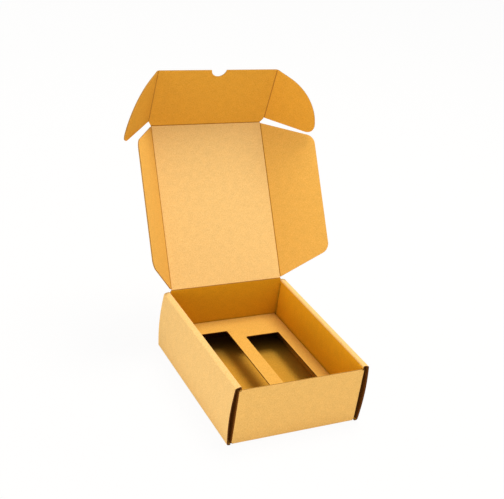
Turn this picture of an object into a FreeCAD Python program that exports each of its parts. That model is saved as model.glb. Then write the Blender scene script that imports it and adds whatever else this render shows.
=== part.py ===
"""Roll-end mailer box of E-flute corrugated board, lid open, with a folded insert in its tray.

Frame: X to the right, Y to the back, Z up, millimetres. The origin is the middle of the tray's underside.
Every moving panel is drawn flat, with its inner face on z = 0 and its crease on an axis, then placed.
"""
import FreeCAD
import Part
import math
import os

# Board
board = 1.6              # E-flute, liner to liner
fold_radius = 1.6        # radius of the board's middle at a folded corner
crease_gap = 0.15        # from a crease's axis to the panel on each side of it
fit = 0.3                # free space between faces that pass each other
overshoot = 1.0          # how far a cut starts outside the board it goes through

# Tray
tray_width = 180.0       # over the outer walls, at their top and bottom
tray_depth = 219.0       # over the front and rear walls
wall_bow = 2.4           # how far the outer walls bulge at half height
bow_length = 60.0        # height of the curved stretch of a bulging wall
roll_outer_height = 80.2  # top of the rolled wall at its outer edge
roll_rise = 1.9          # how much higher the roll's inner edge is
roll_width = 8.4         # over the two layers of a side wall
front_wall_height = 76.5
tab_length = 52.0
tab_top_drop = 1.5       # how far the corner tabs stay below the front wall's top
tab_gap = 0.2            # between a corner tab and the inner wall
lock_tab_width = 30.0
lock_tab_spacing = 110.0
lock_tab_recess = 0.3    # how far the lock tabs stay above the underside

# Lid
lid_crease_height = 84.2
lid_open_angle = 123.5   # from closed, as it stands
side_crease_inset = 0.9  # from a side wall's inner face to the side flap's crease over it
lid_back_bevel = 46.0    # lets the lid be laid back flat

# Side flaps of the lid
side_flap_reach = 71.0
side_flap_rear_slant = 28.5    # how far the rear edge has come in at full reach
side_flap_front_slant = 29.0
side_flap_start = 1.5          # crease's distance from the lid's own creases
side_flap_corner = 14.0
side_flap_bevel = 16.0
left_flap_angle = 54.0         # folded inwards from the lid's plane, as it stands
right_flap_angle = 31.0

# Front flap and its ears
front_flap_reach = 82.6
front_flap_angle = 46.6        # folded inwards from the lid's plane, as it stands
front_flap_bevel = 1.0
thumb_notch_width = 21.6
thumb_notch_depth = 9.5
ear_root = 6.5                 # from the front crease to the ear's near edge, at the ear's crease
ear_start = 8.5                # the same at the ear's full reach
ear_radius = 71.5
ear_corner = 12.0
ear_tail_from = 17.5           # where the ear's arc gives way to a straight end
ear_tail = 74.0                # from ear_start to the far end of the ear's crease
ear_bevel = 12.0
left_ear_angle = 44.5          # folded inwards from the flap's plane, as it stands
right_ear_angle = 41.5
ear_clearance = 0.25           # between a tucked ear and the corner tab beside it

# Insert
platform_height = 28.5
bar_left = -6.1                # edges of the bar between the windows
bar_right = 13.1
window_outer_edge = 62.0       # outer edges of both windows, from the middle
left_window_length = 160.0
right_window_length = 122.0
window_corner = 2.0

# Worked out from the above
half_board = board / 2
half_width = tray_width / 2
half_depth = tray_depth / 2
inner_face = half_width - roll_width
tab_inner = inner_face + board + tab_gap
tab_middle = tab_inner + half_board
tab_outer = tab_inner + board
tab_top = front_wall_height - tab_top_drop
outer_fold = fold_radius + half_board
lid_length = tray_depth - board + fit
lid_width = 2 * (inner_face - side_crease_inset)
ear_crease = tab_outer + ear_clearance
UP = FreeCAD.Vector(0, 0, 1)
RIGHT = FreeCAD.Vector(1, 0, 0)
BACK = FreeCAD.Vector(0, 1, 0)


def across(a, b):
    """Point of a section that runs across the box, seen along Y."""
    return FreeCAD.Vector(a, 0, b)


def along(a, b):
    """Point of a section that runs from front to back, seen along X."""
    return FreeCAD.Vector(0, a, b)


def level(a, b):
    """Point of a section seen from above."""
    return FreeCAD.Vector(a, b, 0)


def turned(vector, normal):
    """Vector turned a quarter turn to the left in the section's plane."""
    return normal.cross(vector)


def board_section(corners, point, normal):
    """Face of a folded board: its middle runs through corners, given as (a, b, fold radius)."""
    places = [point(a, b) for a, b, radius in corners]
    left = []
    right = []
    start = places[0]
    for index in range(1, len(places)):
        run = (places[index] - places[index - 1]).normalize()
        beside = turned(run, normal) * half_board
        if index == len(places) - 1:
            end = places[index]
            left.append(Part.LineSegment(start + beside, end + beside).toShape())
            right.append(Part.LineSegment(start - beside, end - beside).toShape())
            break
        leaving = (places[index + 1] - places[index]).normalize()
        turn = run.getAngle(leaving)
        side = 1 if normal.dot(run.cross(leaving)) > 0 else -1
        radius = corners[index][2]
        reach = radius * math.tan(turn / 2)
        end = places[index] - run * reach
        after = places[index] + leaving * reach
        beyond = turned(leaving, normal) * half_board
        centre = end + turned(run, normal) * side * radius
        to_corner = (places[index] - centre).normalize()
        for edges, sign in ((left, 1), (right, -1)):
            edges.append(Part.LineSegment(start + beside * sign, end + beside * sign).toShape())
            middle = centre + to_corner * (radius - side * sign * half_board)
            edges.append(Part.Arc(end + beside * sign, middle, after + beyond * sign).toShape())
        start = after
    first_cap = Part.LineSegment(left[0].Vertexes[0].Point, right[0].Vertexes[0].Point).toShape()
    last_cap = Part.LineSegment(left[-1].Vertexes[-1].Point, right[-1].Vertexes[-1].Point).toShape()
    edges = left + right + [first_cap, last_cap]
    return Part.Face(Part.Wire(Part.__sortEdges__(edges)))


def block(low, high):
    """Box between two corners."""
    size = [high[i] - low[i] for i in range(3)]
    return Part.makeBox(size[0], size[1], size[2], FreeCAD.Vector(*low))


def mirrored(shape):
    """The same shape on the other side of the middle plane."""
    return shape.mirror(FreeCAD.Vector(0, 0, 0), RIGHT)


def placed(shape, origin, x_way, y_way):
    """Shape drawn about the origin, moved to where it stands."""
    rotation = FreeCAD.Rotation(x_way, y_way, x_way.cross(y_way), "ZXY")
    moved = shape.copy()
    moved.Placement = FreeCAD.Placement(origin, rotation).multiply(shape.Placement)
    return moved


def flat_panel(outline):
    """Board cut to an outline of (x, y) points, its inner face on z = 0."""
    points = [FreeCAD.Vector(x, y, -board) for x, y in outline]
    return Part.Face(Part.makePolygon(points + points[:1])).extrude(UP * board)


def rounded_corner(panel, x, y, radius):
    """Panel with the upright edge at (x, y) rounded."""
    upright = [edge for edge in panel.Edges
               if edge.Length < board + 0.01
               and abs(edge.CenterOfMass.x - x) < 0.01 and abs(edge.CenterOfMass.y - y) < 0.01]
    return panel.makeFillet(radius, upright)


def crease_cut(length, bevel):
    """What a crease along X takes from the panel on its +Y side: its gap and the outer face's bevel."""
    outer = crease_gap + board * math.tan(math.radians(bevel))
    section = [along(crease_gap, 0), along(outer, -board), along(-board, -board), along(-board, 0)]
    deeper = [along(crease_gap, half_board), along(-board, half_board)]
    faces = [Part.Face(Part.makePolygon(points + points[:1]))
             for points in (section, [section[0], deeper[0], deeper[1], section[3]])]
    prisms = [face.extrude(RIGHT * length) for face in faces]
    return prisms[0].fuse(prisms[1]).translated(RIGHT * (-length / 2))


def tray_shell():
    """Bottom, outer walls, rolled tops and inner walls, as one bent board."""
    roll_outer = half_width - half_board
    roll_inner = inner_face + half_board
    roll_low = roll_outer_height - half_board
    wall_height = roll_low - half_board
    bow_corner = wall_bow / (1 - bow_length / (2 * wall_height))
    bow_radius = bow_length * wall_height / (4 * bow_corner)
    side = [(roll_outer, half_board, fold_radius),
            (roll_outer + bow_corner, roll_outer_height / 2, bow_radius),
            (roll_outer, roll_low, fold_radius),
            (roll_inner, roll_low + roll_rise, fold_radius),
            (roll_inner, board + fit, 0)]
    other_side = [(-x, z, radius) for x, z, radius in reversed(side)]
    section = board_section(other_side + side, across, -BACK)
    return section.translated(BACK * -half_depth).extrude(BACK * tray_depth)


def end_wall_room(front):
    """Space that the shell gives up to the front or rear wall."""
    room = board + fit
    hook_under = front_wall_height + fit
    outside = -half_depth - overshoot
    inner_walls = block((-tab_outer, outside, board), (tab_outer, -half_depth + room, hook_under))
    fold_room = tab_outer + fit
    bottom = block((-fold_room, outside, -overshoot), (fold_room, -half_depth + outer_fold, board))
    both = inner_walls.fuse(bottom)
    return both if front else both.mirror(FreeCAD.Vector(0, 0, 0), BACK)


def end_wall(height):
    """Front wall with its bottom fold and its two corner tabs; the rear wall is its mirror image."""
    face_middle = -half_depth + half_board
    tab_end = -half_depth + tab_length
    plan = [(-tab_middle, tab_end, 0), (-tab_middle, face_middle, fold_radius),
            (tab_middle, face_middle, fold_radius), (tab_middle, tab_end, 0)]
    low = outer_fold
    upright = board_section(plan, level, UP).translated(UP * low).extrude(UP * (tab_top - low))
    fold = [(face_middle, tab_top, 0), (face_middle, half_board, fold_radius),
            (-half_depth + outer_fold + board, half_board, 0)]
    fold_width = 2 * (tab_outer - outer_fold)
    lower = board_section(fold, along, RIGHT).extrude(RIGHT * fold_width)
    upper_half = inner_face - fit
    upper = block((-upper_half, -half_depth, tab_top - board), (upper_half, -half_depth + board, height))
    return upright.fuse([lower.translated(RIGHT * (-fold_width / 2)), upper])


def lock_tabs(side):
    """Tabs on an inner wall's lower edge, and the slots in the bottom that they stand in."""
    tabs = []
    slots = []
    for place in (-lock_tab_spacing / 2, lock_tab_spacing / 2):
        low = place - lock_tab_width / 2
        high = place + lock_tab_width / 2
        outer_face = inner_face + board
        tabs.append(block((inner_face, low, lock_tab_recess), (outer_face, high, board + 2 * fit)))
        slot_corner = (outer_face + fit, high + fit, board + fit)
        slots.append(block((inner_face - fit, low - fit, -overshoot), slot_corner))
    if side < 0:
        return [mirrored(tab) for tab in tabs], [mirrored(slot) for slot in slots]
    return tabs, slots


def make_tray():
    """The folded tray: one board, with the rear wall ending at the lid's crease."""
    shell = tray_shell().cut([end_wall_room(True), end_wall_room(False)])
    left_tabs, left_slots = lock_tabs(-1)
    right_tabs, right_slots = lock_tabs(1)
    shell = shell.cut(left_slots + right_slots)
    front = end_wall(front_wall_height)
    rear = end_wall(lid_crease_height).mirror(FreeCAD.Vector(0, 0, 0), BACK)
    crease = placed(crease_cut(tray_width, lid_back_bevel), lid_crease_point(), -RIGHT, -UP)
    rear = rear.cut(crease)
    return shell.fuse([front, rear] + left_tabs + right_tabs).removeSplitter()


def lid_crease_point():
    """Middle of the lid's crease, on the rear wall's inner face."""
    return FreeCAD.Vector(0, half_depth - board, lid_crease_height)


def lid_way():
    """From the lid's rear crease to its front one, as the lid stands."""
    angle = math.radians(lid_open_angle)
    return FreeCAD.Vector(0, -math.cos(angle), math.sin(angle))


def folded_way(way, inward, angle):
    """A way in a panel's plane, folded towards the panel's inner side."""
    fold = math.radians(angle)
    return way * math.cos(fold) + inward * math.sin(fold)


def make_lid_panel():
    """Lid between its four creases."""
    half = lid_width / 2
    panel = flat_panel([(-half, 0), (half, 0), (half, lid_length), (-half, lid_length)])
    cut_width = lid_width + 2 * overshoot
    rear = crease_cut(cut_width, lid_back_bevel)
    front = placed(crease_cut(cut_width, front_flap_bevel), FreeCAD.Vector(0, lid_length, 0), -RIGHT, -BACK)
    side = crease_cut(lid_length + 2 * overshoot, side_flap_bevel)
    right = placed(side, FreeCAD.Vector(half, lid_length / 2, 0), BACK, -RIGHT)
    left = placed(side, FreeCAD.Vector(-half, lid_length / 2, 0), -BACK, RIGHT)
    return placed(panel.cut([rear, front, right, left]), lid_crease_point(), RIGHT, lid_way())


def side_flap_blank():
    """Right side flap drawn flat: its crease on the Y axis, its reach along +X."""
    first = side_flap_start
    last = lid_length - side_flap_start
    rear_corner = (side_flap_reach, first + side_flap_rear_slant)
    front_corner = (side_flap_reach, last - side_flap_front_slant)
    blank = flat_panel([(0, first), rear_corner, front_corner, (0, last)])
    for x, y in (rear_corner, front_corner):
        blank = rounded_corner(blank, x, y, side_flap_corner)
    crease_middle = FreeCAD.Vector(0, lid_length / 2, 0)
    return blank.cut(placed(crease_cut(lid_length, side_flap_bevel), crease_middle, -BACK, RIGHT))


def make_side_flap(side, angle):
    """Side flap as it stands: side is 1 on the right and -1 on the left."""
    way = lid_way()
    inward = RIGHT.cross(way)
    out = folded_way(RIGHT * side, inward, angle)
    blank = side_flap_blank() if side > 0 else mirrored(side_flap_blank())
    crease = lid_crease_point() + RIGHT * side * lid_width / 2
    return placed(blank, crease, out * side, way)


def front_flap_frame():
    """Middle of the front crease, the flap's way and its inward normal, as they stand."""
    way = folded_way(lid_way(), RIGHT.cross(lid_way()), front_flap_angle)
    return lid_crease_point() + lid_way() * lid_length, way, RIGHT.cross(way)


def make_front_flap():
    """Front flap with its thumb notch."""
    base = lid_width / 2
    outline = [(-base, 0), (base, 0), (ear_crease, ear_root), (ear_crease, front_flap_reach),
               (-ear_crease, front_flap_reach), (-ear_crease, ear_root)]
    panel = flat_panel(outline)
    half_notch = thumb_notch_width / 2
    notch_radius = (half_notch ** 2 + thumb_notch_depth ** 2) / (2 * thumb_notch_depth)
    notch_middle = front_flap_reach - thumb_notch_depth + notch_radius
    notch_base = FreeCAD.Vector(0, notch_middle, -board - overshoot)
    notch = Part.makeCylinder(notch_radius, board + 2 * overshoot, notch_base)
    crease = crease_cut(tray_width, front_flap_bevel)
    side = crease_cut(2 * front_flap_reach, ear_bevel)
    right = placed(side, FreeCAD.Vector(ear_crease, front_flap_reach, 0), BACK, -RIGHT)
    left = placed(side, FreeCAD.Vector(-ear_crease, front_flap_reach, 0), -BACK, RIGHT)
    panel = panel.cut([notch, crease, right, left])
    middle, way, inward = front_flap_frame()
    return placed(panel, middle, RIGHT, way)


def ear_blank():
    """Right ear drawn flat: its crease on the Y axis, its reach along +X."""
    tail_height = ear_start + math.sqrt(ear_radius ** 2 - ear_tail_from ** 2)
    half_turn = math.asin(ear_tail_from / ear_radius) / 2 + math.pi / 4
    near = FreeCAD.Vector(0, ear_root, -board)
    centre = FreeCAD.Vector(0, ear_start, -board)
    far = centre + RIGHT * ear_radius
    middle = centre + FreeCAD.Vector(math.sin(half_turn), math.cos(half_turn), 0) * ear_radius
    bend = FreeCAD.Vector(ear_tail_from, tail_height, -board)
    end = FreeCAD.Vector(0, ear_start + ear_tail, -board)
    edges = [Part.LineSegment(near, far).toShape(), Part.Arc(far, middle, bend).toShape(),
             Part.LineSegment(bend, end).toShape(), Part.LineSegment(end, near).toShape()]
    blank = Part.Face(Part.Wire(edges)).extrude(UP * board)
    blank = rounded_corner(blank, ear_radius, ear_start, ear_corner)
    crease_middle = FreeCAD.Vector(0, ear_start + ear_tail / 2, 0)
    return blank.cut(placed(crease_cut(2 * ear_tail, ear_bevel), crease_middle, -BACK, RIGHT))


def make_ear(side, angle):
    """Ear as it stands: side is 1 on the right and -1 on the left."""
    middle, way, inward = front_flap_frame()
    out = folded_way(RIGHT * side, inward, angle)
    blank = ear_blank() if side > 0 else mirrored(ear_blank())
    return placed(blank, middle + RIGHT * side * ear_crease, out * side, way)


def window(low_x, high_x, length):
    """Window's cut through the platform, with rounded corners."""
    low = (low_x, -length / 2, platform_height - 2 * board)
    cut = block(low, (high_x, length / 2, platform_height + overshoot))
    upright = [edge for edge in cut.Edges if abs(edge.tangentAt(edge.FirstParameter).z) > 0.99]
    return cut.makeFillet(window_corner, upright)


def make_insert():
    """Insert: a platform on two side legs, with two windows."""
    outer = inner_face - fit - half_board
    middle = platform_height - half_board
    section = board_section([(-outer, board, 0), (-outer, middle, fold_radius),
                             (outer, middle, fold_radius), (outer, board, 0)], across, -BACK)
    room = half_depth - board - fit
    body = section.translated(BACK * -room).extrude(BACK * 2 * room)
    left = window(-window_outer_edge, bar_left, left_window_length)
    right = window(bar_right, window_outer_edge, right_window_length)
    return body.cut([left, right])


def write(name, shape):
    """One sub-part's file, after a look at its solid."""
    solids = shape.Solids
    print(name, "solids", len(solids), "valid", shape.isValid(), "volume", round(shape.Volume, 1))
    part = solids[0] if len(solids) == 1 else shape
    part.exportStep("parts/%s.step" % name)


def main():
    os.makedirs("parts", exist_ok=True)
    write("tray", make_tray())
    write("lid_panel", make_lid_panel())
    write("lid_side_flap_left", make_side_flap(-1, left_flap_angle))
    write("lid_side_flap_right", make_side_flap(1, right_flap_angle))
    write("front_flap", make_front_flap())
    write("ear_left", make_ear(-1, left_ear_angle))
    write("ear_right", make_ear(1, right_ear_angle))
    write("insert", make_insert())


main()
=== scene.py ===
import bpy
import bmesh
from math import atan2, cos, pi, radians, sin, sqrt, tan
from mathutils import Matrix, Vector


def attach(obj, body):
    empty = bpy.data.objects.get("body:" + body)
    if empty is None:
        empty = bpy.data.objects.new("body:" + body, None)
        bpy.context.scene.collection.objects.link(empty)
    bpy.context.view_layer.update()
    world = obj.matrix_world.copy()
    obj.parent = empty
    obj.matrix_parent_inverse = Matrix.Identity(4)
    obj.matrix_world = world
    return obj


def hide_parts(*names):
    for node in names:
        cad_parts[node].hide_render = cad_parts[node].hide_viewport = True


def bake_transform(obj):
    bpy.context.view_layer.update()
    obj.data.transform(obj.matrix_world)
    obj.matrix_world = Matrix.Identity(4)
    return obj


# Looks of a roll-end mailer box of kraft corrugated board. Metres, X right, Y back, Z up,
# origin in the middle of the tray's underside. Each board is a sheet that is cut and folded as the
# real blank is, given its thickness, and softened along its cut edges.

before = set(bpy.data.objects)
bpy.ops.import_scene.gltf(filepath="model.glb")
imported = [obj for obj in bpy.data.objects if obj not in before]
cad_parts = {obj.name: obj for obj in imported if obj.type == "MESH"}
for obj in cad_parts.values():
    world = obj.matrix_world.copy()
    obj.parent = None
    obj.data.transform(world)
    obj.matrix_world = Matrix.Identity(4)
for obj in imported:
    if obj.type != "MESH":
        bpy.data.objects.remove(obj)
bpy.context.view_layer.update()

MM = 0.001

# Board
BOARD = 1.6 * MM            # E-flute, liner to liner
FOLD_RADIUS = 1.6 * MM      # of the board's middle at a fold
FIT = 0.3 * MM              # between faces that pass each other
EDGE_SOFTNESS = 0.22 * MM   # how far a cut edge is crushed round
CREASE_HALF = 0.6 * MM      # half the width of the pressed line at a crease
CREASE_DEPTH = 0.14 * MM    # how far the pressed line lies below the liners
CREASE_STUB = 1.4 * MM      # how far a crease's board reaches into the panels beside it

# Tray
TRAY_WIDTH = 180 * MM
TRAY_DEPTH = 219 * MM
WALL_BOW = 2.4 * MM
BOW_LENGTH = 60 * MM
ROLL_OUTER_HEIGHT = 80.2 * MM
ROLL_RISE = 1.9 * MM
ROLL_WIDTH = 8.4 * MM
FRONT_WALL_HEIGHT = 76.5 * MM
TAB_LENGTH = 52 * MM
TAB_TOP_DROP = 1.5 * MM
TAB_GAP = 0.2 * MM
LOCK_TAB_WIDTH = 30 * MM
LOCK_TAB_SPACING = 110 * MM
LOCK_TAB_RECESS = 0.3 * MM

# Lid, its flaps and ears
LID_CREASE_HEIGHT = 84.2 * MM
LID_OPEN_ANGLE = radians(123.5)
SIDE_CREASE_INSET = 0.9 * MM
LID_BACK_BEVEL = radians(46)
SIDE_FLAP_REACH = 71 * MM
SIDE_FLAP_REAR_SLANT = 28.5 * MM
SIDE_FLAP_FRONT_SLANT = 29 * MM
SIDE_FLAP_START = 1.5 * MM
SIDE_FLAP_CORNER = 14 * MM
LEFT_FLAP_ANGLE = radians(54)
RIGHT_FLAP_ANGLE = radians(31)
FRONT_FLAP_REACH = 82.6 * MM
FRONT_FLAP_ANGLE = radians(46.6)
THUMB_NOTCH_WIDTH = 21.6 * MM
THUMB_NOTCH_DEPTH = 9.5 * MM
EAR_ROOT = 6.5 * MM
EAR_START = 8.5 * MM
EAR_RADIUS = 71.5 * MM
EAR_CORNER = 12 * MM
EAR_TAIL_FROM = 17.5 * MM
EAR_TAIL = 74 * MM
LEFT_EAR_ANGLE = radians(44.5)
RIGHT_EAR_ANGLE = radians(41.5)
EAR_CLEARANCE = 0.25 * MM
CORNER_GAP = 1.7 * MM       # how much further the rolled walls' inner boards stay from the end walls

# Insert
PLATFORM_HEIGHT = 28.5 * MM
BAR_LEFT = -6.1 * MM
BAR_RIGHT = 13.1 * MM
WINDOW_OUTER_EDGE = 62 * MM
LEFT_WINDOW_LENGTH = 160 * MM
RIGHT_WINDOW_LENGTH = 122 * MM
WINDOW_CORNER = 2 * MM

# Board's look
FACE_FLUTE = 2.4 * MM       # between the flutes' traces on a liner
EDGE_FLUTE = 2.2 * MM       # between the flutes that a cut edge shows
FIBRE_STRETCH = 0.3
PAINTED_SHADE_START = 30 * MM       # where the painted shade starts to darken the bottom towards the rear, and where it ends
PAINTED_SHADE_END = 98 * MM

# Worked out from the above
HALF_BOARD = BOARD / 2
HALF_WIDTH = TRAY_WIDTH / 2
HALF_DEPTH = TRAY_DEPTH / 2
INNER_FACE = HALF_WIDTH - ROLL_WIDTH
TAB_OUTER = INNER_FACE + 2 * BOARD + TAB_GAP
TAB_MIDDLE = TAB_OUTER - HALF_BOARD
TAB_TOP = FRONT_WALL_HEIGHT - TAB_TOP_DROP
OUTER_FOLD = FOLD_RADIUS + HALF_BOARD
LID_LENGTH = TRAY_DEPTH - BOARD + FIT
LID_WIDTH = 2 * (INNER_FACE - SIDE_CREASE_INSET)
EAR_CREASE = TAB_OUTER + EAR_CLEARANCE
NEAR = 0.02 * MM

RIGHT = Vector((1, 0, 0))
UP = Vector((0, 0, 1))
LID_POINT = Vector((0, HALF_DEPTH - BOARD, LID_CREASE_HEIGHT))
LID_WAY = Vector((0, -cos(LID_OPEN_ANGLE), sin(LID_OPEN_ANGLE)))
LID_INNER = RIGHT.cross(LID_WAY)
FRONT_POINT = LID_POINT + LID_WAY * LID_LENGTH
FRONT_WAY = LID_WAY * cos(FRONT_FLAP_ANGLE) + LID_INNER * sin(FRONT_FLAP_ANGLE)
FRONT_INNER = RIGHT.cross(FRONT_WAY)


# ---- Modelling ----

def start_sheet(name, centre, width, height, turn=(0, 0, 0)):
    """Flat sheet of a size, open for editing."""
    bpy.ops.object.select_all(action="DESELECT")
    bpy.ops.mesh.primitive_plane_add(size=1, location=centre, rotation=turn)
    piece = bpy.context.object
    piece.name = name
    piece.data.name = name
    piece.scale = (width, height, 1)
    bpy.ops.object.transform_apply(location=True, rotation=True, scale=True)
    bpy.ops.object.mode_set(mode="EDIT")
    return piece


def pick(kind, test):
    """Select vertices or edges whose every end passes the test, or faces whose middle does."""
    piece = bpy.context.object
    bpy.ops.mesh.select_mode(type=kind)
    bpy.ops.mesh.select_all(action="DESELECT")
    mesh = bmesh.from_edit_mesh(piece.data)
    if kind == "VERT":
        chosen = [v for v in mesh.verts if test(v.co)]
    elif kind == "EDGE":
        chosen = [e for e in mesh.edges if test(e.verts[0].co) and test(e.verts[1].co)]
    else:
        chosen = [f for f in mesh.faces if test(f.calc_center_median())]
    for item in chosen:
        item.select_set(True)
    bmesh.update_edit_mesh(piece.data)
    return len(chosen)


def cut(point, way, clear=False, where=lambda middle: True):
    """Cut the faces whose middle passes a test along a plane, and clear what lies on the way's side of it."""
    pick("FACE", where)
    bpy.ops.mesh.bisect(plane_co=point, plane_no=Vector(way).normalized(), clear_outer=clear,
                        threshold=NEAR / 20)


def remove_faces(test):
    """Cut out the faces whose middle passes the test."""
    if pick("FACE", test):
        bpy.ops.mesh.delete(type="FACE")


def clear_spare_lines():
    """Dissolve the lines that cutting left across flat parts of the sheet."""
    bpy.ops.mesh.select_all(action="SELECT")
    bpy.ops.mesh.dissolve_limited(angle_limit=radians(0.5))


def extend(test, step):
    """Extend the sheet from the edges that pass the test."""
    pick("EDGE", test)
    bpy.ops.mesh.extrude_region_move(TRANSFORM_OT_translate={"value": step})


def round_fold(test, angle=pi / 2, radius=FOLD_RADIUS, segments=6):
    """Round a fold of the sheet's middle."""
    pick("EDGE", test)
    bpy.ops.mesh.bevel(offset=radius * tan(angle / 2), offset_type="OFFSET", segments=segments,
                       affect="EDGES", clamp_overlap=False)


def round_corner(x, y, radius, angle=pi / 2, segments=8):
    """Round a corner of a flat sheet; angle is the corner's own."""
    pick("VERT", lambda co: abs(co.x - x) < NEAR and abs(co.y - y) < NEAR)
    bpy.ops.mesh.bevel(offset=radius / tan(angle / 2), offset_type="OFFSET", segments=segments,
                       affect="VERTICES", clamp_overlap=False)


def lay_out(where):
    """Give the sheet its place on the flat blank as its UV map, in metres."""
    piece = bpy.context.object
    mesh = bmesh.from_edit_mesh(piece.data)
    flat = mesh.loops.layers.uv.verify()
    for face in mesh.faces:
        for loop in face.loops:
            loop[flat].uv = where(loop.vert.co)
    bmesh.update_edit_mesh(piece.data)


def give_board(piece, liner, edge, thickness=BOARD):
    """Give the folded sheet its board's thickness, with liners on its faces and its flutes along its cuts."""
    bpy.ops.mesh.select_all(action="SELECT")
    bpy.ops.mesh.remove_doubles(threshold=0.001 * MM)
    bpy.ops.mesh.normals_make_consistent(inside=False)
    bpy.ops.object.mode_set(mode="OBJECT")
    piece.data.uv_layers[0].name = "blank"
    piece.data.materials.append(liner)
    piece.data.materials.append(edge)
    piece.vertex_groups.new(name="depth")
    board = piece.modifiers.new("board", "SOLIDIFY")
    board.thickness = thickness
    board.offset = 0
    board.use_even_offset = True
    board.material_offset_rim = 1
    board.shell_vertex_group = "depth"
    bpy.ops.object.modifier_apply(modifier=board.name)
    soft = piece.modifiers.new("soft_edges", "BEVEL")
    soft.width = EDGE_SOFTNESS
    soft.segments = 2
    soft.limit_method = "ANGLE"
    soft.angle_limit = radians(50)
    soft.harden_normals = True
    bpy.ops.object.shade_smooth()
    bpy.ops.object.modifier_apply(modifier=soft.name)


def lean_edge(test, step):
    """Lean a cut edge of the finished board by moving one side of it."""
    bpy.ops.object.mode_set(mode="EDIT")
    pick("VERT", test)
    bpy.ops.transform.translate(value=step)
    bpy.ops.object.mode_set(mode="OBJECT")


def reline(piece, finish, test):
    """Give the faces whose middle and outward way pass the test another finish: a liner, or a darker tone of
    painted shade.
    """
    piece.data.materials.append(finish)
    slot = len(piece.data.materials) - 1
    for face in piece.data.polygons:
        if face.material_index == 0 and test(face.center, face.normal):
            face.material_index = slot


def stand(piece, origin, x_way, y_way):
    """Move a finished flat piece to where it stands."""
    z_way = x_way.cross(y_way)
    turn = Matrix((x_way, y_way, z_way)).transposed().to_4x4()
    piece.matrix_world = Matrix.Translation(origin) @ turn
    bpy.ops.object.select_all(action="DESELECT")
    piece.select_set(True)
    bpy.context.view_layer.objects.active = piece
    bpy.ops.object.transform_apply(location=True, rotation=True, scale=True)


def belongs(piece, body, slot, *nodes):
    """Tie a piece to its body, and hide the nodes that it stands for. The finish, slot, is not used."""
    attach(piece, body)
    if nodes:
        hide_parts(*nodes)


# ---- Materials ----

def colour(code):
    """Linear colour of an sRGB hex value."""
    parts = [int(code[i:i + 2], 16) / 255 for i in (1, 3, 5)]
    linear = [c / 12.92 if c <= 0.04045 else ((c + 0.055) / 1.055) ** 2.4 for c in parts]
    return (*linear, 1)


def add(tree, kind, values=None, **settings):
    """Add a node with its settings, and with values or links for its sockets."""
    node = tree.nodes.new(kind)
    for name, value in settings.items():
        setattr(node, name, value)
    for socket, value in (values or {}).items():
        if isinstance(value, bpy.types.NodeSocket):
            tree.links.new(value, node.inputs[socket])
        else:
            node.inputs[socket].default_value = value
    return node


def new_material(name):
    """Empty material, with its shader and output."""
    material = bpy.data.materials.new(name)
    material.use_nodes = True
    tree = material.node_tree
    tree.nodes.clear()
    shader = add(tree, "ShaderNodeBsdfPrincipled")
    add(tree, "ShaderNodeOutputMaterial", {"Surface": shader.outputs["BSDF"]})
    return material, tree, shader


def blank_place(tree, along=1.0):
    """Place on the flat blank: across the flutes along X, and along them on Y, drawn out by a factor."""
    flat = add(tree, "ShaderNodeUVMap", uv_map="blank")
    mapping = add(tree, "ShaderNodeMapping", {"Vector": flat.outputs["UV"], "Scale": (1, along, 1)})
    return mapping.outputs["Vector"]


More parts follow.
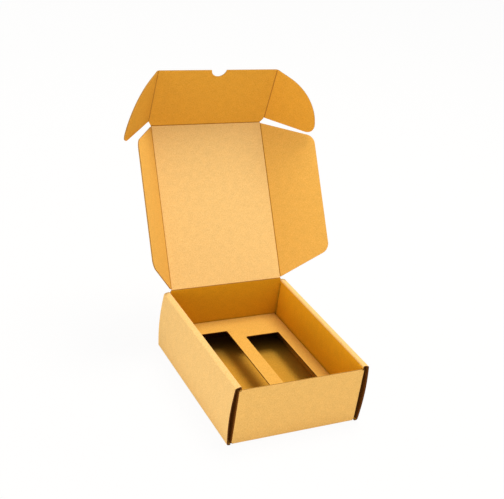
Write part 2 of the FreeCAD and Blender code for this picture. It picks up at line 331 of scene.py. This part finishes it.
def kraft_liner(name, body, shade, light, rear_painted_shade=1.0):
    """Unbleached kraft liner, uncoated: matt, with pulp flecks, cloudy tone and a trace of the flutes.

    Fibres of 1 to 3 mm lie across the flutes; flecks are drawn near 1 mm, as coarse as shows here. The last
    argument is the part of its tone that is left at the tray's rear: painted shade that darkens the tone towards
    the rear, where the insert keeps the light out."""
    material, tree, shader = new_material(name)
    place = blank_place(tree)
    grain = add(tree, "ShaderNodeTexNoise", {"Vector": place, "Scale": 700, "Detail": 3, "Roughness": 0.65})
    cloud = add(tree, "ShaderNodeTexNoise", {"Vector": place, "Scale": 110, "Detail": 3, "Roughness": 0.6})
    fibre_place = blank_place(tree, FIBRE_STRETCH)
    fibre = add(tree, "ShaderNodeTexNoise", {"Vector": fibre_place, "Scale": 1100, "Detail": 2, "Roughness": 0.7})
    mixed = add(tree, "ShaderNodeMath", {0: grain.outputs["Fac"], 1: 0.62}, operation="MULTIPLY")
    mixed = add(tree, "ShaderNodeMath", {0: fibre.outputs["Fac"], 1: 0.38, 2: mixed.outputs[0]},
                operation="MULTIPLY_ADD")
    tone = add(tree, "ShaderNodeValToRGB", {"Fac": mixed.outputs[0]})
    ramp = tone.color_ramp
    ramp.elements[0].position = 0.33
    ramp.elements[0].color = colour(shade)
    ramp.elements[1].position = 0.68
    ramp.elements[1].color = colour(light)
    middle = ramp.elements.new(0.5)
    middle.color = colour(body)
    clouded = add(tree, "ShaderNodeMapRange", {"Value": cloud.outputs["Fac"], "From Min": 0.3,
                                               "From Max": 0.7, "To Min": 0.96, "To Max": 1.035})
    strength = clouded.outputs["Result"]
    # Painted shade: the tone darkens smoothly towards the tray's rear, between the two depths set above.
    if rear_painted_shade < 1:
        stands = add(tree, "ShaderNodeTexCoord").outputs["Object"]
        spot = add(tree, "ShaderNodeSeparateXYZ", {"Vector": stands})
        painted_shade = add(tree, "ShaderNodeMapRange",
                    {"Value": spot.outputs["Y"], "From Min": PAINTED_SHADE_START, "From Max": PAINTED_SHADE_END,
                     "To Max": rear_painted_shade, "To Min": 1}, interpolation_type="SMOOTHSTEP")
        dimmed = add(tree, "ShaderNodeMath", {0: strength, 1: painted_shade.outputs["Result"]}, operation="MULTIPLY")
        strength = dimmed.outputs[0]
    painted = add(tree, "ShaderNodeVectorMath", {0: tone.outputs["Color"], "Scale": strength},
                  operation="SCALE")
    tree.links.new(painted.outputs["Vector"], shader.inputs["Base Color"])
    flutes = add(tree, "ShaderNodeSeparateXYZ", {"Vector": place})
    wave = add(tree, "ShaderNodeMath", {0: flutes.outputs["X"], 1: 2 * pi / FACE_FLUTE}, operation="MULTIPLY")
    ripple = add(tree, "ShaderNodeMath", {0: wave.outputs[0]}, operation="SINE")
    height = add(tree, "ShaderNodeMath", {0: ripple.outputs[0], 1: 0.16, 2: mixed.outputs[0]},
                 operation="MULTIPLY_ADD")
    bump = add(tree, "ShaderNodeBump", {"Height": height.outputs[0], "Strength": 0.5, "Distance": 0.08 * MM})
    tree.links.new(bump.outputs["Normal"], shader.inputs["Normal"])
    shader.inputs["Roughness"].default_value = 0.82
    shader.inputs["Specular IOR Level"].default_value = 0.12
    return material


def fluted_edge(name, hollow_painted_shade, medium, liner):
    """Cut edge of E-flute board: two liners with the wavy medium between them, and the hollows between them
    painted dark as shade.

    Flutes of 1.3 mm are drawn further apart, as coarse as shows here."""
    material, tree, shader = new_material(name)
    depth = add(tree, "ShaderNodeAttribute", attribute_name="depth", attribute_type="GEOMETRY")
    split = add(tree, "ShaderNodeSeparateXYZ", {"Vector": blank_place(tree)})
    both = add(tree, "ShaderNodeMath", {0: split.outputs["X"], 1: split.outputs["Y"]}, operation="ADD")
    wave = add(tree, "ShaderNodeMath", {0: both.outputs[0], 1: 2 * pi / EDGE_FLUTE}, operation="MULTIPLY")
    crest = add(tree, "ShaderNodeMath", {0: wave.outputs[0]}, operation="SINE")
    line = add(tree, "ShaderNodeMath", {0: crest.outputs[0], 1: 0.32, 2: 0.5}, operation="MULTIPLY_ADD")
    away = add(tree, "ShaderNodeMath", {0: depth.outputs["Fac"], 1: line.outputs[0]}, operation="SUBTRACT")
    away = add(tree, "ShaderNodeMath", {0: away.outputs[0]}, operation="ABSOLUTE")
    on_medium = add(tree, "ShaderNodeMapRange", {"Value": away.outputs[0], "From Min": 0.08, "From Max": 0.22,
                                                 "To Min": 1, "To Max": 0})
    middle = add(tree, "ShaderNodeMath", {0: depth.outputs["Fac"], 1: 0.5}, operation="SUBTRACT")
    middle = add(tree, "ShaderNodeMath", {0: middle.outputs[0]}, operation="ABSOLUTE")
    on_liner = add(tree, "ShaderNodeMapRange", {"Value": middle.outputs[0], "From Min": 0.36, "From Max": 0.46})
    inner = add(tree, "ShaderNodeMix", {"Factor": on_medium.outputs["Result"], "A": colour(hollow_painted_shade),
                                        "B": colour(medium)}, data_type="RGBA")
    outer = add(tree, "ShaderNodeMix", {"Factor": on_liner.outputs["Result"], "A": inner.outputs["Result"],
                                        "B": colour(liner)}, data_type="RGBA")
    tree.links.new(outer.outputs["Result"], shader.inputs["Base Color"])
    shader.inputs["Roughness"].default_value = 0.9
    shader.inputs["Specular IOR Level"].default_value = 0.2
    return material


def crease_painted_shade(name, pressed, lighter_crease_shade):
    """Creased board: liner crushed hard by the creasing rule, drawn in darker tones than the liner as painted
    shade along the crease.
    """
    material, tree, shader = new_material(name)
    place = add(tree, "ShaderNodeTexCoord").outputs["Object"]
    grain = add(tree, "ShaderNodeTexNoise", {"Vector": place, "Scale": 900, "Detail": 3, "Roughness": 0.6})
    tone = add(tree, "ShaderNodeValToRGB", {"Fac": grain.outputs["Fac"]})
    tone.color_ramp.elements[0].position = 0.35
    tone.color_ramp.elements[0].color = colour(pressed)
    tone.color_ramp.elements[1].position = 0.7
    tone.color_ramp.elements[1].color = colour(lighter_crease_shade)
    tree.links.new(tone.outputs["Color"], shader.inputs["Base Color"])
    bump = add(tree, "ShaderNodeBump", {"Height": grain.outputs["Fac"], "Strength": 0.6, "Distance": 0.1 * MM})
    tree.links.new(bump.outputs["Normal"], shader.inputs["Normal"])
    shader.inputs["Roughness"].default_value = 0.85
    shader.inputs["Specular IOR Level"].default_value = 0.2
    return material


liner = kraft_liner("kraft_liner", "#EAC27C", "#DBB068", "#F4D194")
# Painted shade: the front wall's outer face, a slightly darker and more golden copy of the liner.
front_wall_painted_shade = kraft_liner("kraft_front_wall_painted_shade", "#E6BA6C", "#D7A858", "#F0C984")
# Painted shade: the side flaps' inner faces, a darker and more golden copy of the liner.
side_flap_painted_shade = kraft_liner("kraft_side_flap_painted_shade", "#E2AE52", "#D39C42", "#ECBC66")
# Painted shade: inner faces of the front flap and the ears, a darker copy of the liner.
flap_painted_shade = kraft_liner("kraft_flap_painted_shade", "#DBA036", "#CA8E28", "#E4AE4A")
# Painted shade: the tray's inner side walls, a darker and more saturated copy of the liner.
inner_wall_painted_shade = kraft_liner("kraft_inner_wall_painted_shade", "#E6AC1C", "#D69A12", "#F0B830")
# Painted shade: inner faces of the end walls, a darker copy of the liner.
end_wall_inner_painted_shade = kraft_liner("kraft_end_wall_inner_painted_shade", "#D49A18", "#C48A10", "#DEA828")
insert_liner = kraft_liner("insert_liner", "#E0AE50", "#D09C40", "#EABC66")
# Painted shade: the tray's bottom is a darker copy of the liner, and darker still towards the rear.
bottom_painted_shade = kraft_liner("kraft_bottom_painted_shade", "#CE9830", "#BA8626", "#DAA63E", 0.15)
# Painted shade: a dark brown tone for faces in the narrow gaps between boards.
gap_painted_shade = kraft_liner("kraft_gap_painted_shade", "#70400E", "#60360A", "#7C4C14")
# Painted shade: a near-black tone for faces under the insert and deep in the rear gaps.
deep_painted_shade = kraft_liner("kraft_deep_painted_shade", "#341A06", "#2A1404", "#3E220A")
# Cut edges: the hollows are painted shade in both; where the flutes open, fluted_edge also draws its liners and
# medium dark brown as painted shade.
edge = fluted_edge("fluted_edge", "#3C1800", "#6A3A0C", "#8A5418")
edge_light = fluted_edge("fluted_edge_along", "#946824", "#C29248", "#D2A256")
# Painted shade: the creases take two darker tones than the liner.
crease_finish = crease_painted_shade("crease_painted_shade", "#A06A1E", "#BE8632")


# ---- Tray ----

def make_tray_sides():
    """Bottom, bulging outer walls, rolled tops and inner walls, with lock tabs in slots of the bottom."""
    roll_outer = HALF_WIDTH - HALF_BOARD
    roll_inner = INNER_FACE + HALF_BOARD
    roll_low = ROLL_OUTER_HEIGHT - HALF_BOARD
    wall_height = roll_low - HALF_BOARD
    bow_corner = WALL_BOW / (1 - BOW_LENGTH / (2 * wall_height))
    bow_radius = BOW_LENGTH * wall_height / (4 * bow_corner)
    bow_turn = atan2(bow_corner, wall_height / 2)
    bow_centre = roll_outer + bow_corner - bow_radius / cos(bow_turn)
    turns = [bow_turn * step / 6 for step in range(-6, 7)]
    bow = [(bow_centre + bow_radius * cos(turn), ROLL_OUTER_HEIGHT / 2 + bow_radius * sin(turn))
           for turn in turns]
    path = [(roll_outer, HALF_BOARD), *bow, (roll_outer, roll_low), (roll_inner, roll_low + ROLL_RISE),
            (roll_inner, BOARD + FIT)]
    piece = start_sheet("tray_sides", (0, 0, HALF_BOARD), 2 * roll_outer, TRAY_DEPTH)
    for side in (-1, 1):
        for (x, z), (next_x, next_z) in zip(path, path[1:]):
            extend(lambda co: abs(co.x - side * x) < NEAR and abs(co.z - z) < NEAR,
                   (side * (next_x - x), 0, next_z - z))

    def across(co):
        side = 1 if co.x > 0 else -1
        place = Vector((abs(co.x), co.z))
        best = abs(co.x) if abs(co.z - HALF_BOARD) < NEAR and abs(co.x) < roll_outer else None
        if best is None:
            run = roll_outer
            nearest = 1.0
            for start, end in zip(path, path[1:]):
                leg = Vector(end) - Vector(start)
                share = min(max((place - Vector(start)).dot(leg) / leg.length_squared, 0), 1)
                gap = (Vector(start) + leg * share - place).length
                if gap < nearest:
                    nearest = gap
                    best = run + leg.length * share
                run += leg.length
        return side * best, co.y

    lay_out(across)
    room = HALF_DEPTH - BOARD - FIT
    fold_room = HALF_DEPTH - OUTER_FOLD
    low_end = TAB_OUTER + FIT
    for end in (-1, 1):
        cut((0, end * (room - CORNER_GAP), 0), (0, end, 0))
        cut((0, end * fold_room, 0), (0, end, 0))
    rear_top = TAB_TOP + FIT
    cut((0, 0, FRONT_WALL_HEIGHT + FIT), (0, 0, 1))
    cut((0, 0, rear_top), (0, 0, 1))
    in_bottom = lambda co: abs(co.z - HALF_BOARD) < NEAR
    for side in (-1, 1):
        cut((side * low_end, 0, 0), (side, 0, 0), where=in_bottom)
    remove_faces(lambda co: abs(co.x) < INNER_FACE + BOARD and abs(co.y) > room - CORNER_GAP
                 and HALF_BOARD + NEAR < co.z < (FRONT_WALL_HEIGHT if co.y < 0 else rear_top))
    remove_faces(lambda co: abs(co.x) < low_end and abs(co.z - HALF_BOARD) < NEAR and abs(co.y) > fold_room)
    for place in (-1, 1):
        for half in (-1, 1):
            for spare in (0, FIT):
                edge_y = place * LOCK_TAB_SPACING / 2 + half * (LOCK_TAB_WIDTH / 2 + spare)
                cut((0, edge_y, 0), (0, 1, 0))
    on_tab = lambda co: abs(abs(co.y) - LOCK_TAB_SPACING / 2) < LOCK_TAB_WIDTH / 2 + NEAR
    on_slot = lambda co: abs(abs(co.y) - LOCK_TAB_SPACING / 2) < LOCK_TAB_WIDTH / 2 + FIT
    for side in (-1, 1):
        cut((side * (INNER_FACE - FIT), 0, 0), (1, 0, 0), where=in_bottom)
        cut((side * (INNER_FACE + BOARD + FIT), 0, 0), (1, 0, 0), where=in_bottom)
    remove_faces(lambda co: INNER_FACE - FIT < abs(co.x) < INNER_FACE + BOARD + FIT
                 and abs(co.z - HALF_BOARD) < NEAR and on_slot(co))
    extend(lambda co: abs(co.z - BOARD - FIT) < NEAR and on_tab(co) and abs(abs(co.x) - roll_inner) < NEAR,
           (0, 0, LOCK_TAB_RECESS - BOARD - FIT))
    on_line = lambda co, x, z: abs(abs(co.x) - x) < NEAR and abs(co.z - z) < NEAR
    round_fold(lambda co: on_line(co, *path[0]))
    rise = atan2(ROLL_RISE, roll_outer - roll_inner)
    round_fold(lambda co: on_line(co, *path[-3]), pi / 2 - rise)
    round_fold(lambda co: on_line(co, *path[-2]), pi / 2 + rise)
    give_board(piece, liner, edge)
    # Painted shade: the bottom's upper face takes the darker bottom tone.
    reline(piece, bottom_painted_shade, lambda co, way: way.z > 0.7 and co.z < 2 * BOARD)
    # Painted shade: the inner walls take the darker inner tone.
    reline(piece, inner_wall_painted_shade, lambda co, way: abs(co.x) < INNER_FACE + NEAR and way.x * co.x < 0)
    # Painted shade: faces inside the double walls, between outer and inner board, take the dark gap tone.
    reline(piece, gap_painted_shade, lambda co, way: INNER_FACE + BOARD / 2 < abs(co.x) and co.z < ROLL_OUTER_HEIGHT
           and (way.x * co.x < 0 or abs(co.x) < INNER_FACE + 2 * BOARD))
    belongs(piece, "tray", "kraft_board", "tray")


def make_end_wall(name, end, height, corner_edge):
    """Front or rear wall: its two corner tabs, and its fold under the tray. end is -1 at the front."""
    face = end * (HALF_DEPTH - HALF_BOARD)
    low = OUTER_FOLD
    upper_half = INNER_FACE - NEAR
    fold_half = TAB_OUTER - OUTER_FOLD
    piece = start_sheet(name, (0, face, (low + TAB_TOP) / 2), 2 * TAB_MIDDLE, TAB_TOP - low, (pi / 2, 0, 0))
    for x in (-upper_half, upper_half, -fold_half, fold_half):
        cut((x, 0, 0), (1, 0, 0))
    extend(lambda co: abs(co.z - TAB_TOP) < NEAR and abs(co.x) < upper_half + NEAR, (0, 0, height - TAB_TOP))
    extend(lambda co: abs(co.z - low) < NEAR and abs(co.x) < fold_half + NEAR, (0, 0, HALF_BOARD - low))
    extend(lambda co: abs(co.z - HALF_BOARD) < NEAR, (0, -end * (OUTER_FOLD + HALF_BOARD), 0))
    tab = TAB_LENGTH - HALF_BOARD
    for side in (-1, 1):
        extend(lambda co: abs(co.x - side * TAB_MIDDLE) < NEAR, (0, -end * tab, 0))

    def across(co):
        inward = abs(co.y - face)
        if abs(abs(co.x) - TAB_MIDDLE) < NEAR:
            return (co.x + (inward if co.x > 0 else -inward), co.z)
        return (co.x, co.z - inward)

    lay_out(across)
    cut((0, 0, PLATFORM_HEIGHT - BOARD), (0, 0, 1))
    round_fold(lambda co: abs(abs(co.x) - TAB_MIDDLE) < NEAR and abs(co.y - face) < NEAR)
    round_fold(lambda co: abs(co.z - HALF_BOARD) < NEAR and abs(co.y - face) < NEAR)
    give_board(piece, liner, corner_edge)
    if height > FRONT_WALL_HEIGHT:
        lean_edge(lambda co: co.y > face and co.z > height - 2 * EDGE_SOFTNESS,
                  (0, 0, -BOARD * tan(LID_BACK_BEVEL)))
    # Painted shade: the tabs' side faces in the corner gaps take a dark tone, darker still at the rear.
    reline(piece, gap_painted_shade if end < 0 else deep_painted_shade,
           lambda co, way: abs(co.x) > INNER_FACE + BOARD and abs(way.x) > 0.55)
    # Painted shade: the rear wall's inner face below the platform takes the near-black tone.
    reline(piece, deep_painted_shade,
           lambda co, way: way.y - way.z < -0.5 and co.y > 0 and co.z < PLATFORM_HEIGHT - BOARD)
    # Painted shade: the end wall's inner face takes its darker tone.
    reline(piece, end_wall_inner_painted_shade, lambda co, way: way.y * end < -0.7)
    # Painted shade: the front wall's outer face takes its darker copy of the liner.
    reline(piece, front_wall_painted_shade, lambda co, way: way.y < -0.7)
    belongs(piece, "tray", "kraft_board", "tray")


# ---- Lid, flaps and ears ----

def make_lid():
    """Lid panel between its four creases."""
    half = LID_WIDTH / 2 - CREASE_HALF
    low = CREASE_HALF
    high = LID_LENGTH - CREASE_HALF
    piece = start_sheet("lid_board", (0, (low + high) / 2, -HALF_BOARD), 2 * half, high - low)
    lay_out(lambda co: (co.x, co.y))
    give_board(piece, liner, edge_light)
    lean_edge(lambda co: co.z < -HALF_BOARD and co.y < low + 2 * EDGE_SOFTNESS,
              (0, BOARD * tan(LID_BACK_BEVEL), 0))
    stand(piece, LID_POINT, RIGHT, LID_WAY)
    belongs(piece, "lid_panel", "kraft_board", "lid_panel")


def make_side_flap(name, side, angle):
    """Dust flap: side is 1 on the right and -1 on the left."""
    first = SIDE_FLAP_START
    last = LID_LENGTH - SIDE_FLAP_START
    middle_x = side * (CREASE_HALF + SIDE_FLAP_REACH) / 2
    piece = start_sheet(name, (middle_x, (first + last) / 2, -HALF_BOARD),
                        SIDE_FLAP_REACH - CREASE_HALF, last - first)
    rear_way = Vector((side * SIDE_FLAP_REAR_SLANT, -SIDE_FLAP_REACH, 0))
    front_way = Vector((side * SIDE_FLAP_FRONT_SLANT, SIDE_FLAP_REACH, 0))
    cut((0, first, 0), rear_way, True)
    cut((0, last, 0), front_way, True)
    lay_out(lambda co: (co.x, co.y))
    reach = side * SIDE_FLAP_REACH
    for y, slant in ((first + SIDE_FLAP_REAR_SLANT, SIDE_FLAP_REAR_SLANT),
                     (last - SIDE_FLAP_FRONT_SLANT, SIDE_FLAP_FRONT_SLANT)):
        round_corner(reach, y, SIDE_FLAP_CORNER, pi / 2 + atan2(slant, SIDE_FLAP_REACH), 10)
    # Painted shade: the flap's inner face takes the darker copy; its other face keeps the liner below.
    give_board(piece, side_flap_painted_shade, edge_light)
    reline(piece, liner, lambda co, way: way.z < -0.5)
    out = RIGHT * side * cos(angle) + LID_INNER * sin(angle)
    stand(piece, LID_POINT + RIGHT * side * LID_WIDTH / 2, out * side, LID_WAY)
    node = name.replace("_board", "")
    belongs(piece, node, "kraft_board", node)


def make_front_flap():
    """Front flap, with its thumb notch and its lead-in corners beside the crease."""
    half = EAR_CREASE - CREASE_HALF
    low = CREASE_HALF
    high = FRONT_FLAP_REACH
    notch = THUMB_NOTCH_WIDTH / 2
    radius = (notch ** 2 + THUMB_NOTCH_DEPTH ** 2) / (2 * THUMB_NOTCH_DEPTH)
    bottom = high - THUMB_NOTCH_DEPTH
    spare = bottom + radius + FIT
    piece = start_sheet("front_flap_board", (0, (low + spare) / 2, -HALF_BOARD), 2 * half, spare - low)
    base = LID_WIDTH / 2
    for side in (-1, 1):
        slope = Vector((side * EAR_ROOT, -(EAR_CREASE - base), 0))
        cut((side * base, 0, 0), slope, True)
    cut((radius, 0, 0), (1, 0, 0))
    cut((-radius, 0, 0), (1, 0, 0))
    cut((0, bottom, 0), (0, 1, 0))
    remove_faces(lambda co: abs(co.x) < radius and co.y > bottom)
    clear_spare_lines()
    pick("VERT", lambda co: abs(abs(co.x) - radius) < NEAR and abs(co.y - bottom) < NEAR)
    bpy.ops.mesh.bevel(offset=radius * 0.995, offset_type="OFFSET", segments=14, affect="VERTICES",
                       clamp_overlap=False)
    cut((0, high, 0), (0, 1, 0), True)
    lay_out(lambda co: (co.x, co.y))
    # Painted shade: the front flap's inner face takes the darker copy of the liner.
    give_board(piece, flap_painted_shade, edge_light)
    reline(piece, liner, lambda co, way: way.z < -0.5)
    stand(piece, FRONT_POINT, RIGHT, FRONT_WAY)
    belongs(piece, "front_flap", "kraft_board", "front_flap")


def make_ear(name, side, angle):
    """Locking ear: a quarter round that runs out in a straight tail beside the flap's free edge."""
    bpy.ops.object.select_all(action="DESELECT")
    bpy.ops.mesh.primitive_circle_add(vertices=128, radius=EAR_RADIUS, fill_type="NGON",
                                      location=(0, EAR_START, -HALF_BOARD))
    piece = bpy.context.object
    piece.name = name
    bpy.ops.object.transform_apply(location=True, rotation=False, scale=False)
    bpy.ops.object.mode_set(mode="EDIT")
    cut((side * CREASE_HALF, 0, 0), (-side, 0, 0), True)
    cut((side * EAR_RADIUS, EAR_START, 0), (side * (EAR_START - EAR_ROOT), -EAR_RADIUS, 0), True)
    tail_height = EAR_START + sqrt(EAR_RADIUS ** 2 - EAR_TAIL_FROM ** 2)
    cut((side * EAR_TAIL_FROM, 0, 0), (1, 0, 0))
    pick("VERT", lambda co: CREASE_HALF + NEAR < side * co.x < EAR_TAIL_FROM - NEAR and co.y > tail_height)
    bpy.ops.mesh.dissolve_verts()
    pick("VERT", lambda co: abs(side * co.x - CREASE_HALF) < NEAR and co.y > tail_height)
    lift = EAR_START + EAR_TAIL - (EAR_START + sqrt(EAR_RADIUS ** 2 - CREASE_HALF ** 2))
    bpy.ops.transform.translate(value=(0, lift, 0))
    lay_out(lambda co: (co.x, co.y))
    pick("VERT", lambda co: EAR_START + NEAR < co.y < EAR_START + EAR_CORNER)
    bpy.ops.mesh.dissolve_verts()
    round_corner(side * EAR_RADIUS, EAR_START, EAR_CORNER, pi / 2, 10)
    # Painted shade: the ear's inner face takes the darker copy of the liner.
    give_board(piece, flap_painted_shade, edge_light)
    reline(piece, liner, lambda co, way: way.z < -0.5)
    out = RIGHT * side * cos(angle) + FRONT_INNER * sin(angle)
    stand(piece, FRONT_POINT + RIGHT * side * EAR_CREASE, out * side, FRONT_WAY)
    node = name.replace("_board", "")
    belongs(piece, node, "kraft_board", node)


# ---- Insert ----

def make_insert():
    """Insert: a platform on two legs, with two windows."""
    outer = INNER_FACE - FIT - HALF_BOARD
    middle = PLATFORM_HEIGHT - HALF_BOARD
    room = HALF_DEPTH - BOARD - 3 * FIT
    piece = start_sheet("insert_board", (0, 0, middle), 2 * outer, 2 * room)
    windows = ((-WINDOW_OUTER_EDGE, BAR_LEFT, LEFT_WINDOW_LENGTH),
               (BAR_RIGHT, WINDOW_OUTER_EDGE, RIGHT_WINDOW_LENGTH))
    cut((0, 0, 0), (0, 1, 0))
    for low, high, length in windows:
        cut((low, 0, 0), (1, 0, 0))
        cut((high, 0, 0), (1, 0, 0))
        for end in (-1, 1):
            cut((0, end * length / 2, 0), (0, 1, 0))
        remove_faces(lambda co: low < co.x < high and abs(co.y) < length / 2)
    for half in (-1, 1):
        pick("FACE", lambda co: co.y * half > 0)
        bpy.ops.mesh.dissolve_faces()
    for side in (-1, 1):
        extend(lambda co: abs(co.x - side * outer) < NEAR, (0, 0, BOARD - middle))

    def across(co):
        fall = middle - co.z
        return (co.x + (fall if co.x > 0 else -fall), co.y)

    lay_out(across)
    round_fold(lambda co: abs(abs(co.x) - outer) < NEAR and abs(co.z - middle) < NEAR)
    for low, high, length in windows:
        for x in (low, high):
            for end in (-1, 1):
                round_corner(x, end * length / 2, WINDOW_CORNER, pi / 2, 4)
    give_board(piece, insert_liner, edge)
    # Painted shade: the insert's underside and the outsides of its legs below the platform take the near-black
    # tone.
    reline(piece, deep_painted_shade,
           lambda co, way: way.z < -0.3 or (abs(co.x) > outer and co.z < PLATFORM_HEIGHT - FIT))
    # Painted shade: the legs below the platform take the darker bottom tone.
    reline(piece, bottom_painted_shade, lambda co, way: co.z < PLATFORM_HEIGHT - BOARD)
    belongs(piece, "tray", "insert_board", "insert")


# ---- Creases ----

def make_crease(name, point, x_way, y_way, fold, length, outward=False):
    """Crushed board of a crease. y_way leads from the first body's panel to the second's, laid flat, and fold
    is how far the second is folded towards the inner side at rest."""
    inner = -CREASE_DEPTH
    outer = -BOARD + CREASE_DEPTH
    piece = start_sheet(name, (0, -CREASE_STUB, (inner + outer) / 2), length, inner - outer, (pi / 2, 0, 0))
    radius = -outer if outward else 0
    before = radius * tan(abs(fold) / 2) if outward else 0
    bpy.ops.mesh.select_all(action="SELECT")
    bpy.ops.mesh.extrude_region_move(TRANSFORM_OT_translate={"value": (0, CREASE_STUB - before, 0)})
    bpy.ops.mesh.spin(steps=10, angle=-fold, center=(0, -before, -radius), axis=(1, 0, 0))
    way = Vector((0, cos(fold), sin(fold)))
    bpy.ops.mesh.extrude_region_move(TRANSFORM_OT_translate={"value": way * (CREASE_STUB - before)})
    bpy.ops.mesh.select_all(action="SELECT")
    bpy.ops.mesh.remove_doubles(threshold=0.001 * MM)
    bpy.ops.mesh.normals_make_consistent(inside=False)
    bpy.ops.object.mode_set(mode="OBJECT")
    piece.data.materials.append(crease_finish)
    bpy.ops.object.shade_smooth_by_angle(angle=radians(30))
    stand(piece, point, x_way, y_way)
    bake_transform(piece)


def make_creases():
    """The creases of the lid, of its flaps and of the ears."""
    lid_middle = LID_POINT + LID_WAY * LID_LENGTH / 2
    make_crease("lid_crease", LID_POINT, RIGHT, UP, pi / 2 - LID_OPEN_ANGLE,
                LID_WIDTH - 2 * FIT, True)
    make_crease("front_flap_crease", FRONT_POINT, RIGHT, LID_WAY, FRONT_FLAP_ANGLE,
                LID_WIDTH - 2 * FIT)
    flap_length = LID_LENGTH - 2 * SIDE_FLAP_START - 2 * FIT
    for side, angle, body in ((-1, LEFT_FLAP_ANGLE, "lid_side_flap_left"),
                              (1, RIGHT_FLAP_ANGLE, "lid_side_flap_right")):
        make_crease(body + "_crease", lid_middle + RIGHT * side * LID_WIDTH / 2,
                    LID_WAY * -side, RIGHT * side, angle, flap_length)
    for side, angle, body in ((-1, LEFT_EAR_ANGLE, "ear_left"), (1, RIGHT_EAR_ANGLE, "ear_right")):
        ear_middle = (FRONT_POINT + FRONT_WAY * (EAR_ROOT + EAR_START + EAR_TAIL) / 2
                      + RIGHT * side * EAR_CREASE)
        make_crease(body + "_crease", ear_middle, FRONT_WAY * -side, RIGHT * side, angle,
                    EAR_START + EAR_TAIL - EAR_ROOT - 2 * FIT)


# ---- Stage ----

def seen_by_eye(tree):
    """1 where a ray comes from the camera, straight or by way of a reflection or glass, and 0 elsewhere."""
    path = add(tree, "ShaderNodeLightPath")
    seen = add(tree, "ShaderNodeMath", {0: path.outputs["Is Camera Ray"], 1: path.outputs["Is Glossy Ray"]},
               operation="MAXIMUM")
    seen = add(tree, "ShaderNodeMath", {0: seen.outputs[0], 1: path.outputs["Is Transmission Ray"]},
               operation="MAXIMUM")
    return seen.outputs[0]


def make_floor():
    """Plain pale floor that shows white to the eye and keeps a faint shadow."""
    bpy.ops.object.select_all(action="DESELECT")
    bpy.ops.mesh.primitive_plane_add(size=12, location=(0, 0, -0.2 * MM))
    floor = bpy.context.object
    floor.name = "floor"
    material, tree, shader = new_material("pale_floor")
    shader.inputs["Base Color"].default_value = colour("#E8E6E2")
    shader.inputs["Roughness"].default_value = 0.9
    part = add(tree, "ShaderNodeMath", {0: seen_by_eye(tree), 1: 0.94}, operation="MULTIPLY")
    white = add(tree, "ShaderNodeEmission", {"Color": (1, 1, 1, 1), "Strength": 1.0})
    mixed = add(tree, "ShaderNodeMixShader", {0: part.outputs[0], 1: shader.outputs["BSDF"],
                                              2: white.outputs["Emission"]})
    output = [n for n in tree.nodes if n.type == "OUTPUT_MATERIAL"][0]
    tree.links.new(mixed.outputs["Shader"], output.inputs["Surface"])
    floor.data.materials.append(material)


def make_world():
    """Soft even light from all round, white to the eye."""
    world = bpy.data.worlds.new("studio")
    bpy.context.scene.world = world
    world.use_nodes = True
    tree = world.node_tree
    tree.nodes.clear()
    fill = add(tree, "ShaderNodeBackground", {"Color": colour("#FFFAF2"), "Strength": 0.6})
    white = add(tree, "ShaderNodeBackground", {"Color": (1, 1, 1, 1), "Strength": 1.0})
    mixed = add(tree, "ShaderNodeMixShader", {0: seen_by_eye(tree), 1: fill.outputs[0], 2: white.outputs[0]})
    add(tree, "ShaderNodeOutputWorld", {"Surface": mixed.outputs[0]})


def make_lamp(name, place, target, size, power, tint):
    """Soft box that looks at a point, of a width and height."""
    data = bpy.data.lights.new(name, "AREA")
    data.shape = "RECTANGLE"
    data.size, data.size_y = size
    data.energy = power
    data.color = colour(tint)[:3]
    lamp = bpy.data.objects.new(name, data)
    bpy.context.scene.collection.objects.link(lamp)
    lamp.location = place
    lamp.rotation_euler = (Vector(target) - Vector(place)).to_track_quat("-Z", "Y").to_euler()


def make_camera():
    """The photograph's viewpoint."""
    data = bpy.data.cameras.new("camera")
    data.sensor_width = 36
    data.lens = 70.57
    camera = bpy.data.objects.new("camera", data)
    bpy.context.scene.collection.objects.link(camera)
    forward = Vector((0.447, 0.7761, -0.4449)).normalized()
    right = Vector((0.890, -0.4357, 0.1341))
    right = (right - forward * right.dot(forward)).normalized()
    up = right.cross(forward)
    turn = Matrix((right, up, -forward)).transposed().to_4x4()
    camera.matrix_world = Matrix.Translation((-0.5560, -0.9085, 0.7159)) @ turn
    bpy.context.scene.camera = camera


make_tray_sides()
make_end_wall("tray_front_wall", -1, FRONT_WALL_HEIGHT, edge_light)
make_end_wall("tray_rear_wall", 1, LID_CREASE_HEIGHT - CREASE_HALF, edge_light)
make_lid()
make_side_flap("lid_side_flap_left_board", -1, LEFT_FLAP_ANGLE)
make_side_flap("lid_side_flap_right_board", 1, RIGHT_FLAP_ANGLE)
make_front_flap()
make_ear("ear_left_board", -1, LEFT_EAR_ANGLE)
make_ear("ear_right_board", 1, RIGHT_EAR_ANGLE)
make_insert()
make_creases()
make_floor()
make_world()
# A high key from the right rear, and low fills that even out the front and the left side.
make_lamp("key_light", (0.6, 0.3, 2.2), (0, 0, 0.1), (1.1, 1.1), 40, "#FFF9F0")
make_lamp("front_fill", (-0.7, -2.4, 0.3), (0, 0, 0.2), (1.8, 0.6), 14.5, "#FFEBCC")
make_lamp("left_fill", (-2.2, -0.3, 0.3), (0, 0, 0.1), (1.4, 0.6), 14, "#FFFAF4")
make_camera()
bpy.context.scene.view_settings.view_transform = "Standard"
